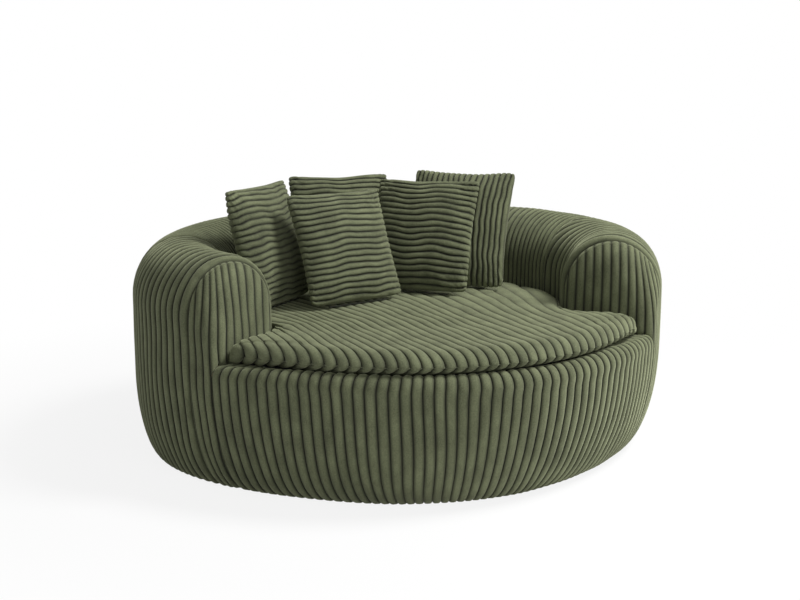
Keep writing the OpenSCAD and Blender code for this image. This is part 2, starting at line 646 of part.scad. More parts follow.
pillow_cover(4);  // pillow_5_cover
pillow_fill(4);  // pillow_5_fill
pillow_zip(4);  // pillow_5_zip
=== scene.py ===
"""Round lounge chair in wide-ribbed corduroy: a C-shaped roll that is arms and back in one,
a drum base, a loose seat cushion and five loose pillows. Metres, front faces -Y, up is +Z."""
import json

import bmesh
import bpy
import numpy as np
from mathutils import Matrix, Vector


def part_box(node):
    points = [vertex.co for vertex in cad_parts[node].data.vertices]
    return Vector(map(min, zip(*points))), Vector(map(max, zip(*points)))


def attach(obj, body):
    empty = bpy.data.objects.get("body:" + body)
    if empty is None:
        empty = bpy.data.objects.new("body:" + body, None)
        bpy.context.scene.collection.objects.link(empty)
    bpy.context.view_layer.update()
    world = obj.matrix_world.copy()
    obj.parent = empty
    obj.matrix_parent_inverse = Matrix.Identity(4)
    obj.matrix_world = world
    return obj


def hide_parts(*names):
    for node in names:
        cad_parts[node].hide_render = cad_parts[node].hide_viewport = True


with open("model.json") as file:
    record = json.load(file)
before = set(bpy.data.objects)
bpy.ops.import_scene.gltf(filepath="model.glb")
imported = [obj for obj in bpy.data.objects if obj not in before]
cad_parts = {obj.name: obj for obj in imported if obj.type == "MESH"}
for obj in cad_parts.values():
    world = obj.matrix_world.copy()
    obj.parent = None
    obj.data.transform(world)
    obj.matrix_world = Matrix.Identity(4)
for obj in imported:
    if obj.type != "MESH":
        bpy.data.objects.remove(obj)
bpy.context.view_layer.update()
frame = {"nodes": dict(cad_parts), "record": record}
scene = bpy.context.scene
scene.view_settings.view_transform = "Standard"

# Camera at the photograph's place
AZIMUTH, ELEVATION = np.radians(-17.172), np.radians(13.164)
TARGET, DISTANCE = Vector((0, 0, 0.32)), 4.572
LENS, SHIFT_X, SHIFT_Y = 67.29, -0.0026, 0.0478
back = Vector((np.sin(AZIMUTH) * np.cos(ELEVATION), -np.cos(AZIMUTH) * np.cos(ELEVATION), np.sin(ELEVATION)))
camera_data = bpy.data.cameras.new("camera")
camera_data.lens = LENS
camera_data.sensor_width = 36
camera_data.shift_x = SHIFT_X
camera_data.shift_y = SHIFT_Y
camera = bpy.data.objects.new("camera", camera_data)
camera.location = TARGET + DISTANCE * back
camera.rotation_euler = (-back).to_track_quat("-Z", "Y").to_euler()
scene.collection.objects.link(camera)
scene.camera = camera

# Sizes of the chair, the same as the solids'
HALF_W, HALF_D, ROLL_H, DECK_Z = 0.8, 0.74, 0.645, 0.37
SHOULDER_PULL, CUT_TURN = 0.045, 11
TUCK_SIDE, TUCK_MORE, TUCK_H, TUCK_MORE_H = 0.08, 0.075, 0.28, 0.115
HEM_Z, FLANGE_Z, FLANGE_W = 0.002, 0.0102, 0.045
HEM_CURL_Z, HEM_CURL_W, HEM_TURN_W, HEM_LIFT = 0.013, 0.02, 0.006, 0.001
EDGE_R, FRONT_FOLD = 0.03, 0.08
ROLL_W, ROLL_TOP_H = 0.293, 0.159
NOSE_START, NOSE_END, FACE_SEAM, BACK_SEAM, PANEL_SEAM = -22, -32, -25.5, 12, 66
TUCKED_Z = 0.324
RIB, BED, END_BED = 0.03, 0.0018, 0.0006
PROUD, PROUD_INSIDE = 0.006, 0.002
FLOOR_CLEAR, COVER_T, WELD = 0.0008, 0.001, 0.00005
FOLD_SWELL, FOLD_SWELL_H, FOLD_FREE = 0.012, 0.04, 0.25
FOLD_START, FOLD_START_MORE, FOLD_RUN, FOLD_RUN_MORE = 0.01, 0.018, 0.02, 0.022
ROW_STEP, RIB_SWAY, FRONT_SWAY, FACE_SWAY, SWAY_SEED = 0.02, 0.16, 0.2, 0.12, 40
FACE_RIB, FACE_BEND = 0.0255, 0.045
COLUMN_SHARES = np.array([0, 0.035, 0.09, 0.18, 0.32, 0.5, 0.68, 0.82, 0.91, 0.965])


def sin_of(t):
    return np.sin(np.radians(t))


def cos_of(t):
    return np.cos(np.radians(t))


def plan(t):
    """Outline at angle t: k(t) (0.8 cos t, 0.74 sin t), with k = 1 - 0.045 sin(2t)^2 in front, 1 behind."""
    k = np.where(sin_of(t) < 0, 1 - SHOULDER_PULL * sin_of(2 * t) ** 2, 1.0)
    return np.stack([k * HALF_W * cos_of(t), k * HALF_D * sin_of(t)], -1)


def outward(t):
    """Unit normal of the outline at t, turned by -11 sin(2t) degrees in front."""
    d = plan(t + 0.05) - plan(t - 0.05)
    a = np.arctan2(-d[..., 0], d[..., 1]) + np.radians(np.where(sin_of(t) < 0, -CUT_TURN * sin_of(2 * t), 0))
    return np.stack([np.cos(a), np.sin(a)], -1)


def in_by(t, s):
    """The outline's point at t, moved in by s."""
    return plan(t) - np.asarray(s)[..., None] * outward(t)


def place(t, s, z):
    """Points at angles t, insets s and heights z, as whole arrays."""
    t, s, z = np.broadcast_arrays(t, s, z)
    return np.concatenate([in_by(t, s), z[..., None]], -1)


def nose_share(t):
    """How far t is through an arm's rounded end: 0 behind it, 1 at its tip."""
    t = np.where(t > 270, t - 360, t)
    return np.clip((NOSE_START - np.where(t < 90, t, 180 - t)) / (NOSE_START - NOSE_END), 0, 1)


def nose(t):
    """Height share of the rounded end: (1 - x^2.2)^(1/2.2)."""
    return (1 - nose_share(t) ** 2.2) ** (1 / 2.2)


def inner_s(t):
    """Inset of the roll's inner wall: 0.06 + 0.233 (1 - x^2.6)."""
    return 2 * EDGE_R + (ROLL_W - 2 * EDGE_R) * (1 - nose_share(t) ** 2.6)


def spring_line(t):
    """Height where the roll's arch springs from its walls: 0.34 + 0.146 nose(t)."""
    low = DECK_Z - EDGE_R
    return low + (ROLL_H - ROLL_TOP_H - low) * nose(t)


def tuck(t):
    """How far the outer wall tucks in at its foot: 0.08 - 0.075 sin t."""
    return TUCK_SIDE - TUCK_MORE * sin_of(t)


def tuck_h(t):
    """How high the tucked foot reaches: 0.28 - 0.115 sin t."""
    return TUCK_H - TUCK_MORE_H * sin_of(t)


def wall_in(t, z):
    """Inset of the outer wall at height z: a quarter of an ellipse from the hem up to tuck_h."""
    c = 1 - np.clip(z / tuck_h(t), 0, 1)
    return tuck(t) * (1 - np.sqrt(1 - c * c))


def wall_rows(t, top, count):
    """Insets and heights of the hem's fold and of the wall up to the height top, row by row."""
    hem_in = wall_in(t, HEM_CURL_Z)
    rows = [(hem_in + FLANGE_W, FLANGE_Z + 0 * t), (hem_in + HEM_CURL_W, FLANGE_Z - HEM_LIFT + 0 * t),
            (wall_in(t, HEM_Z) + HEM_TURN_W, HEM_Z + HEM_LIFT + 0 * t)]
    low_turn = np.arccos(1 - HEM_Z / tuck_h(t))
    high_turn = np.arccos(1 - np.clip(top / tuck_h(t), 0, 1))
    for i in range(count):
        z = tuck_h(t) * (1 - np.cos(low_turn + (high_turn - low_turn) * i / (count - 1)))
        rows.append((wall_in(t, z), z))
    return rows


def roll_rows(t, wall_count=18, straight=8, arch=26, inner=9):
    """The roll's section at t: hem, wall, half an ellipse over the top, the inner wall down past the deck."""
    rows = wall_rows(t, np.minimum(tuck_h(t), spring_line(t)), wall_count)
    low, high = rows[-1][1], spring_line(t)
    rows += [(0 * t, low + (high - low) * i / straight) for i in range(1, straight)]
    half, rise = inner_s(t) / 2, DECK_Z + (ROLL_H - DECK_Z) * nose(t) - high
    turns = [180 * i / arch for i in range(arch + 1)]
    rows += [(half * (1 - cos_of(turn)), high + rise * sin_of(turn)) for turn in turns]
    rows += [(inner_s(t), high + (TUCKED_Z - high) * i / inner) for i in range(1, inner + 1)]
    return rows


def front_rows(t):
    """The front panel's section at t: hem, wall, rounded top edge and the fold under the cushion."""
    top = DECK_Z - EDGE_R
    rows = wall_rows(t, top + 0 * t, 26)
    edge_in = rows[-1][0]
    for i in range(1, 10):
        rows.append((edge_in * (1 - i / 9) + EDGE_R * (1 - cos_of(10 * i)), top + EDGE_R * sin_of(10 * i)))
    return rows + [(EDGE_R + (FRONT_FOLD - EDGE_R) * i / 5 + 0 * t, DECK_Z + 0 * t) for i in range(1, 6)]


# Ribs and the small unevenness of stuffed cloth
def wale(x):
    """A rib's height share at phase x, 1 on the rib and 0 in the groove: (1 - |2f - 1|^2.1)^0.52."""
    f = x - np.floor(x)
    return (1 - np.abs(2 * f - 1) ** 2.1) ** 0.52


def painted_groove_shade(deep):
    """Painted shade in a groove at a share of the groove's depth: 1.9 deep - 0.12, from 0 to 1."""
    return np.clip(1.9 * deep - 0.12, 0, 1)


def waver(a, b, seed, size=1.0):
    """Smooth unevenness between about -1 and 1 over two coordinates in metres: a sum of five slow waves."""
    rng = np.random.default_rng(seed)
    total = 0
    for i in range(5):
        turn = rng.uniform(0, 2 * np.pi)
        wave = size * rng.uniform(0.12, 0.4)
        start = rng.uniform(0, 2 * np.pi)
        total = total + np.sin(2 * np.pi * (a * np.cos(turn) + b * np.sin(turn)) / wave + start)
    return total / 3


def grid_normals(p):
    """Unit normals of a grid of points, outward where rows go up and columns along growing t."""
    n = np.cross(np.gradient(p, axis=1), np.gradient(p, axis=0))
    return n / np.maximum(np.linalg.norm(n, axis=-1, keepdims=True), 1e-12)


def along(p, axis):
    """Distance along a grid's rows or columns, in metres."""
    step = np.linalg.norm(np.diff(p, axis=axis), axis=-1)
    return np.cumsum(np.insert(step, 0, 0, axis=axis), axis=axis)


def make_mesh(name, grids, body, slot):
    """One mesh from grids of (points, uv, painted groove shade, closed along columns), welded together."""
    points, faces, uvs, depth, start = [], [], [], [], 0
    for p, uv, deep, closed in grids:
        rows, cols = p.shape[:2]
        i, j = np.meshgrid(np.arange(rows - 1), np.arange(cols if closed else cols - 1), indexing="ij")
        k = (j + 1) % cols
        corners = (i * cols + j, i * cols + k, (i + 1) * cols + k, (i + 1) * cols + j)
        faces.append(np.stack(corners, -1).reshape(-1, 4) + start)
        points.append(p.reshape(-1, 3))
        uvs.append(uv.reshape(-1, 2))
        depth.append(deep.reshape(-1))
        start += rows * cols
    points, faces, uvs, depth = (np.concatenate(x) for x in (points, faces, uvs, depth))
    mesh = bpy.data.meshes.new(name)
    mesh.from_pydata(points.tolist(), [], faces.tolist())
    loops = np.zeros(len(mesh.loops), np.int32)
    mesh.loops.foreach_get("vertex_index", loops)
    mesh.uv_layers.new(name="cord").data.foreach_set("uv", uvs[loops].astype(np.float32).ravel())
    # The groove attribute carries painted shade for the grooves to the material.
    mesh.attributes.new("groove", "FLOAT", "POINT").data.foreach_set("value", depth.astype(np.float32))
    obj = bpy.data.objects.new(name, mesh)
    scene.collection.objects.link(obj)
    b = bmesh.new()
    b.from_mesh(mesh)
    bmesh.ops.remove_doubles(b, verts=b.verts, dist=WELD)
    bmesh.ops.dissolve_degenerate(b, edges=b.edges, dist=1e-7)
    b.to_mesh(mesh)
    b.free()
    mesh.shade_smooth()
    mesh.materials.append(MATERIALS[slot])
    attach(obj, body)
    return obj


# Materials
class Value:
    """A shader socket that takes part in arithmetic, adding a Math node for each step."""

    def __init__(self, nodes, socket):
        self.nodes, self.socket = nodes, socket

    def _math(self, how, *values):
        return self.nodes.value("ShaderNodeMath", {"operation": how}, dict(enumerate(values)))

    def __add__(self, other):
        return self._math("ADD", self, other)

    __radd__ = __add__

    def __mul__(self, other):
        return self._math("MULTIPLY", self, other)

    __rmul__ = __mul__

    def __sub__(self, other):
        return self._math("SUBTRACT", self, other)

    def __rsub__(self, other):
        return self._math("SUBTRACT", other, self)

    def floor(self):
        return self._math("FLOOR", self)


class Nodes:
    """The nodes of one material or of the world."""

    def __init__(self, owner):
        owner.use_nodes = True
        self.owner, self.tree = owner, owner.node_tree
        self.shader = self.tree.nodes.get("Principled BSDF")

    def node(self, kind, settings=None, values=None):
        """Adds a node, sets its settings and then its sockets' values or links."""
        node = self.tree.nodes.new(kind)
        for key, value in (settings or {}).items():
            setattr(node, key, value)
        for key, value in (values or {}).items():
            self.put(node.inputs[key], value)
        return node

    def add(self, kind, settings=None, values=None, out=0):
        """Adds a node and returns one of its output sockets."""
        return self.node(kind, settings, values).outputs[out]

    def put(self, socket, value):
        value = value.socket if isinstance(value, Value) else value
        if isinstance(value, bpy.types.NodeSocket):
            self.tree.links.new(value, socket)
        else:
            socket.default_value = value

    def value(self, *args, **kwargs):
        return Value(self, self.add(*args, **kwargs))

    def coords(self):
        return self.add("ShaderNodeTexCoord", out=3)

    def noise(self, scale, detail=2.0, vector=None, stretch=None):
        vector = vector or self.coords()
        if stretch:
            vector = self.add("ShaderNodeMapping", {}, {"Vector": vector, "Scale": stretch})
        values = {"Vector": vector, "Scale": scale, "Detail": detail}
        return self.value("ShaderNodeTexNoise", {"noise_dimensions": "3D"}, values)

    def seen(self):
        """1 on rays from the camera, off metal or through glass, 0 on the rays that light other things."""
        rays = self.node("ShaderNodeLightPath").outputs
        kinds = [Value(self, rays[f"Is {kind} Ray"]) for kind in ("Camera", "Glossy", "Transmission")]
        return self._most(self._most(*kinds[:2]), kinds[2])

    def _most(self, a, b):
        return self.value("ShaderNodeMath", {"operation": "MAXIMUM"}, {0: a, 1: b})

    def blend(self, share, a, b):
        """Colour a where share is 0, b where it is 1."""
        return self.add("ShaderNodeMix", {"data_type": "RGBA"}, {0: share, 6: a, 7: b}, out=2)

    def finish(self, color, roughness, bump=None, strength=0.3, distance=0.001, **constants):
        self.put(self.shader.inputs["Base Color"], color)
        self.put(self.shader.inputs["Roughness"], roughness)
        if bump is not None:
            values = {"Height": bump, "Strength": strength, "Distance": distance}
            self.put(self.shader.inputs["Normal"], self.add("ShaderNodeBump", {}, values))
        for key, value in constants.items():
            self.shader.inputs[key.replace("_", " ")].default_value = value
        return self.owner


def new_nodes(name):
    """The nodes of a new material."""
    return Nodes(bpy.data.materials.new(name))


def tone(rgb, times=1.0):
    """A colour times a factor, at most 1, with its alpha."""
    return tuple(min(1, c * times) for c in rgb) + (1,)


CORD = (0.112, 0.124, 0.068)


def corduroy():
    """Brushed ribs, each with its own tone, lighter and darker patches of pile, and painted shade darkening
    the grooves.
    """
    n = new_nodes("corduroy")
    uv = n.add("ShaderNodeUVMap", {"uv_map": "cord"})
    split = n.node("ShaderNodeSeparateXYZ", {}, {0: uv})
    across, length = Value(n, split.outputs[0]), Value(n, split.outputs[1])
    own = n.add("ShaderNodeCombineXYZ", {}, {0: across.floor() * 3.7, 1: length * 6})
    rib_tone = n.noise(1.0, 1.0, own)
    patch = n.noise(22, 3.0, stretch=(1, 1, 0.55))
    fine = n.noise(330, 4.0)
    fuzz = n.noise(1500, 1.0)
    # Painted shade: the groove attribute blends the pile's colour towards 5% of the cord colour in the
    # grooves.
    groove = n.value("ShaderNodeAttribute", {"attribute_name": "groove"}, out="Fac")
    light = rib_tone * 0.6 + patch * 1.3 + fine * 1.5 - 1.2
    pile = n.blend(light, tone(CORD, 0.6), tone(CORD, 1.5))
    deep = n.blend(groove, pile, tone(CORD, 0.05))
    return n.finish(deep, 0.92 - patch * 0.1, fine * 0.6 + fuzz * 0.4, 0.45, 0.0012,
                    Sheen_Weight=0.55, Sheen_Roughness=0.45, Sheen_Tint=(0.62, 0.66, 0.42, 1),
                    Specular_IOR_Level=0.25)


def plain(name, low, high, scale, roughness, stretch=None, metallic=0.0, bump=0.3):
    """A material whose colour runs between two tones on a noise, stretched for grain."""
    n = new_nodes(name)
    grain = n.noise(scale, 3.0, stretch=stretch)
    color = n.blend(grain, tone(low), tone(high))
    return n.finish(color, roughness + grain * 0.12, grain, bump, 0.0005, Metallic=metallic)


MATERIALS = {
    "corduroy": corduroy(),
    "foam": plain("foam", (0.62, 0.53, 0.3), (0.9, 0.82, 0.55), 700, 0.85),
    "fibre": plain("fibre", (0.7, 0.7, 0.68), (0.92, 0.92, 0.9), 180, 0.9, (1, 1, 4)),
    "dust_cloth": plain("dust_cloth", (0.012, 0.012, 0.012), (0.045, 0.045, 0.045), 900, 0.8),
    "plywood": plain("plywood", (0.42, 0.28, 0.15), (0.72, 0.54, 0.33), 26, 0.55, (1, 6, 14)),
    "pine": plain("pine", (0.5, 0.33, 0.17), (0.78, 0.6, 0.37), 30, 0.6, (9, 9, 0.8)),
    "liner_board": plain("liner_board", (0.15, 0.09, 0.05), (0.34, 0.22, 0.13), 300, 0.65),
    "steel": plain("steel", (0.42, 0.42, 0.44), (0.66, 0.66, 0.68), 120, 0.28, metallic=1.0, bump=0.05),
    "glide_plastic": plain("glide_plastic", (0.015, 0.015, 0.015), (0.04, 0.04, 0.042), 240, 0.4, bump=0.1),
    # The zip's greenish near-black colour is painted shade, so that where it shows between a pillow's edges
    # it reads as a shadow line.
    "zip_plastic": plain("zip_plastic", (0.008, 0.009, 0.005), (0.022, 0.025, 0.015), 600, 0.85),
}
slots = {row["node"]: row["material_slot"] for row in frame["record"]["subparts"]}
for node, obj in frame["nodes"].items():
    obj.data.materials.clear()
    obj.data.materials.append(MATERIALS[slots[node]])


SIDES = {"left": True, "right": False}
FACE_TURN = {"left": 22, "right": 0}


def ribbed(p, phase, proud, seam=0.0, seed=1, uneven=0.0008, n=None, bed=BED, rib=None):
    """A grid pushed out along its normals by proud - (rib + bed)(1 - wale(phase)) + uneven waves - seam.

    It is never pushed in by more than bed, and stays clear of the floor. Where rib isn't given, it is
    the same as proud."""
    n = grid_normals(p) if n is None else n
    rib = proud if rib is None else rib
    row, col = along(p, 0), along(p, 1)
    deep = 1 - wale(phase)
    push = np.maximum(proud - (rib + bed) * deep + uneven * waver(col, row, seed) - seam, -bed)
    uv = np.stack([phase + 100 * seed, row], -1)
    points = p + push[..., None] * n
    points[..., 2] = np.maximum(points[..., 2], FLOOR_CLEAR)
    # The third value is painted shade, darker the deeper the groove.
    return points, uv, painted_groove_shade(deep), False


def flipped(grid):
    """A grid with its columns in the other order, so that its faces look the other way."""
    return tuple(part[:, ::-1] for part in grid[:3]) + (grid[3],)


def mirrored(grid):
    return flipped((grid[0] * (-1, 1, 1),) + grid[1:])


def finish_cover(obj, node):
    """Gives a cover 1 mm of thickness inward, and puts it in its solid's place."""
    solid = obj.modifiers.new("thickness", "SOLIDIFY")
    solid.thickness = COVER_T
    solid.offset = -1
    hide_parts(node)


def stacked(rows):
    """A section's rows as two arrays, insets and heights."""
    pairs = [np.broadcast_arrays(*row) for row in rows]
    return np.array([s for s, _ in pairs]), np.array([z for _, z in pairs])


def proud_of(s, z, t):
    """Ribs stand proud of the solids on the outside, and hardly where the cushion comes near."""
    near = np.clip((s / inner_s(t) - 0.6) / 0.3, 0, 1) * np.clip((0.6 - z) / 0.1, 0, 1)
    return PROUD + (PROUD_INSIDE - PROUD) * near


def pinch(distance, depth=0.0045, width=0.006):
    """A sewn seam's dip: depth exp(-(d / width)^2)."""
    return depth * np.exp(-((distance / width) ** 2))


def phases(ribs):
    """Column phases of so many ribs, closer together beside the grooves."""
    return np.append((np.arange(ribs)[:, None] + COLUMN_SHARES).ravel(), ribs)


def even_steps(t0, t1):
    """Angles at equal distances along the outline between two angles, and their rib phases."""
    fine = np.linspace(t0, t1, 2000)
    far = along(plan(fine)[None], 1)[0]
    u = phases(round(far[-1] / RIB))
    return np.interp(u * far[-1] / u[-1], far, fine), u


# The back's cover, in three panels with ribs around the roll
def back_panel(name, t0, t1, seed):
    """A panel from t0 to t1, with ribs every 30 mm along the outline that sway a little."""
    t, u = even_steps(t0, t1)
    s, z = stacked(roll_rows(t))
    height = np.arange(s.shape[0])[:, None] * ROW_STEP
    free = np.clip(np.minimum(u, u[-1] - u), 0, 1)
    t = t + RIB_SWAY * (t1 - t0) / u[-1] * free * waver(height, u[None] * RIB, seed + SWAY_SEED)
    p = place(t, s, z)
    col = along(p, 1)
    seam = (t0 == BACK_SEAM) * pinch(col) + (t1 == 180 - BACK_SEAM) * pinch(col[:, -1:] - col)
    obj = make_mesh(name + "_cord", [ribbed(p, np.broadcast_to(u, s.shape), proud_of(s, z, t), seam, seed)],
                    "base", "corduroy")
    finish_cover(obj, name)


# An arm's cover: its ribs lie in planes parallel to the arm's face, and run out at the seam to the back
def arm_sleeve(side, seed):
    fine = np.linspace(FACE_SEAM, BACK_SEAM, 500)
    s_fine, z_fine = stacked(roll_rows(fine))
    p_fine = place(fine, s_fine, z_fine)
    n_fine = grid_normals(p_fine)
    axis = outward(np.array(FACE_SEAM))
    far = p_fine[..., :2] @ np.array([-axis[1], axis[0]])
    far -= far[:, :1]
    u = phases(int(np.ceil(far.max() / RIB)))
    height = np.arange(len(far))[:, None] * ROW_STEP
    free = np.clip(u, 0, 1) * RIB_SWAY
    wanted = (u + free * waver(height, u[None] * RIB, seed + SWAY_SEED)) * RIB
    t = np.array([np.interp(w, row, fine) for w, row in zip(wanted, far)])

    def pick(values):
        return np.array([np.interp(a, fine, row) for a, row in zip(t, values)])

    s, z = pick(s_fine), pick(z_fine)
    p = place(t, s, z)
    n = np.stack([pick(n_fine[..., k]) for k in range(3)], -1)
    seam_at = place(np.full_like(t, BACK_SEAM), s_fine[:, -1:], z_fine[:, -1:])
    seam = pinch(np.linalg.norm(p - seam_at, axis=-1)) + pinch(along(p, 1))
    phase = np.minimum(np.broadcast_to(u, t.shape), far[:, -1:] / RIB)
    grid = ribbed(p, phase, proud_of(s, z, t), seam, seed, n=n / np.linalg.norm(n, axis=-1, keepdims=True))
    name = "arm_cover_" + side
    obj = make_mesh(name + "_cord", [mirrored(grid) if SIDES[side] else grid], "base", "corduroy")
    finish_cover(obj, name)


# An arm's rounded end, with upright ribs inside the arched seam
def arm_end(side, seed):
    """Ribs every 25.5 mm across the face, bent outward round the tip by exp(-(way in / 45 mm)^2)."""
    t = FACE_SEAM + (NOSE_END - FACE_SEAM) * sin_of(np.linspace(90, 0, 130))
    arch, inner = 120, 9
    rows = roll_rows(t, straight=10, arch=arch, inner=inner)
    s, z = stacked(rows)
    p = place(t, s, z)
    wall = np.arange(len(rows))[:, None] < len(rows) - inner - (arch + 1)
    flat = np.where(wall[..., None], plan(t)[None], p[..., :2])
    axis = outward(np.array(FACE_SEAM))
    turn = np.arctan2(axis[1], axis[0]) + np.radians(FACE_TURN[side])
    across = np.array([np.cos(turn), np.sin(turn)])
    tip = plan(np.array(NOSE_END))
    way_in = (tip - flat) @ across
    forward = tip - plan(np.array(FACE_SEAM))
    taken = 1 + forward @ across / np.linalg.norm(forward)
    round_front = np.linalg.norm(plan(t) - tip, axis=-1)
    bend = np.exp(-((np.maximum(way_in, 0) / FACE_BEND) ** 2))
    spot = inner_s(np.array(FACE_SEAM)) - way_in + taken * round_front * bend
    phase = spot / FACE_RIB + FACE_SWAY * waver(p[..., 2], spot, seed + SWAY_SEED)
    col = along(p, 1)
    seam = pinch(col[:, -1:] - col, 0.006, 0.006) + pinch(col, 0.004, 0.005) * (z < DECK_Z + 0.05)
    grid = ribbed(p, phase, proud_of(s, z, t), seam, seed, bed=END_BED)
    name = "arm_face_" + side
    obj = make_mesh(name + "_cord", [mirrored(grid) if SIDES[side] else grid], "base", "corduroy")
    finish_cover(obj, name)


def front_panel(seed):
    """The front's upright ribs, swollen along the top edge and flat where they fold under the cushion."""
    t, u = even_steps(180 - NOSE_END, 360 + NOSE_END)
    s, z = stacked(front_rows(t))
    height = np.arange(s.shape[0])[:, None] * ROW_STEP
    inside = np.clip(np.minimum(u, u[-1] - u), 0, 1)
    t = t + FRONT_SWAY * inside * waver(height, u[None] * RIB, seed + SWAY_SEED)
    p = place(t, s, z)
    col = along(p, 1)
    free = np.clip(np.minimum(col, col[:, -1:] - col) / FOLD_FREE, 0, 1)
    under = np.clip((s - FOLD_START - FOLD_START_MORE * free) / (FOLD_RUN + FOLD_RUN_MORE * free), 0, 1)
    under = under * (z > DECK_Z - EDGE_R)
    swell = FOLD_SWELL * np.clip((z - DECK_Z) / FOLD_SWELL_H + 1, 0, 1) * free
    seam = pinch(col, 0.004, 0.005) + pinch(col[:, -1:] - col, 0.004, 0.005)
    grid = ribbed(p, np.broadcast_to(u, s.shape), (PROUD + swell) * (1 - under) - 0.0002 * under, seam, seed,
                  uneven=0.0008 * (1 - under), rib=PROUD * (1 - under))
    obj = make_mesh("front_cover_cord", [grid], "base", "corduroy")
    finish_cover(obj, "front_cover")


for side in SIDES:
    arm_sleeve(side, 3 + SIDES[side])
    arm_end(side, 5 + SIDES[side])
BACK_PANELS = (("right", BACK_SEAM, PANEL_SEAM), ("middle", PANEL_SEAM, 180 - PANEL_SEAM),
               ("left", 180 - PANEL_SEAM, 180 - BACK_SEAM))
for number, (panel, t0, t1) in enumerate(BACK_PANELS):
    back_panel("back_cover_" + panel, t0, t1, 11 + number)
front_panel(21)


# The seat cushion's outline, from tables of the front edge and of the roll's inner walls
GAP, CUSHION_T, CROWN, TIP_X = 0.008, 0.062, 0.016, 0.604
CUSHION_RIBS, RIB_SLANT, LIP_RISE, LIP_BACK, LIP_FADE, TIP_FOOT = 41, 0.16, 0.016, 0.008, 0.3, 0.008
CUSHION_EDGE, CUSHION_BACK_EDGE, UNDERCUT, WIDEST, CUSHION_SEAM_Z = 0.07, 0.03, 0.08, 0.45, 0.031
FOAM_SHARES, FOAM_MIDDLE = np.array([0.91, 0.92, 0.5]), np.array([0, -0.2, CUSHION_T / 2 + 0.003])
CUSHION_Z = DECK_Z + 0.0003
CREST_IN, CREST_FREE, GROOVE_IN, GROOVE_FREE, SWELL, MOST_SWELL = 0.0021, 0.0016, 0.008, 0.0035, 0.002, 0.0015
SEAM_DIP, SEAM_WIDTH, UNDER_GROOVE, CUSHION_SWAY = 0.003, 0.0025, 0.003, 0.0022
SIDE_FROM, BACK_SHARE, SIDE_WIDTH, PAST_TIP = 0.985, 0.9, 0.2 / 3, 0.01
FRONT_CLEAR, TIP_BACK, UNDERCUT_BACK, BEND_AHEAD = 0.004, 0.052, 0.01, 0.03
SLANT_END, SLANT_RUN = 0.52, 0.37


def face_line(t):
    """The arm's inner line, kept clear by the cushion's gap along its own normal."""

    def wall(a):
        return in_by(a, inner_s(a))

    d = wall(t + 0.05) - wall(t - 0.05)
    d /= np.linalg.norm(d, axis=-1, keepdims=True)
    return wall(t) + GAP * np.stack([-d[..., 1], d[..., 0]], -1)


def back_table(count=400):
    """Columns' x, and where each ends behind: the back up to 0.9 of the way to the arm's corner, the
    side of the roll for 1/15 more, then the arm's nose."""
    s = ROLL_W + GAP
    corner = face_line(np.array(FACE_SEAM + 0.0))[0]
    steps = np.linspace(0, 90, 4000)
    far_t = float(np.interp(-SIDE_FROM * in_by(0.0, s)[0], -in_by(steps, s)[:, 0], steps))
    inside = np.linspace(90, far_t, count)
    inside_p = in_by(inside, s)
    share_in = inside_p[:, 0] / inside_p[-1, 0] * BACK_SHARE
    side_t = np.linspace(far_t, NOSE_START, count)[1:]
    share_side = BACK_SHARE + SIDE_WIDTH * np.linspace(0, 1, count)[1:]
    nose_t = np.linspace(FACE_SEAM, NOSE_END, count)
    nose_p = face_line(nose_t)
    x = np.concatenate([corner * share_in, corner * share_side, nose_p[:, 0], [TIP_X + PAST_TIP]])
    last = nose_p[-1] + (TIP_X + PAST_TIP - nose_p[-1, 0]) * np.array([1, -1])
    ends = np.concatenate([inside_p, in_by(side_t, s), nose_p, [last]])
    return x, ends, corner, nose_p[0, 1] - BEND_AHEAD


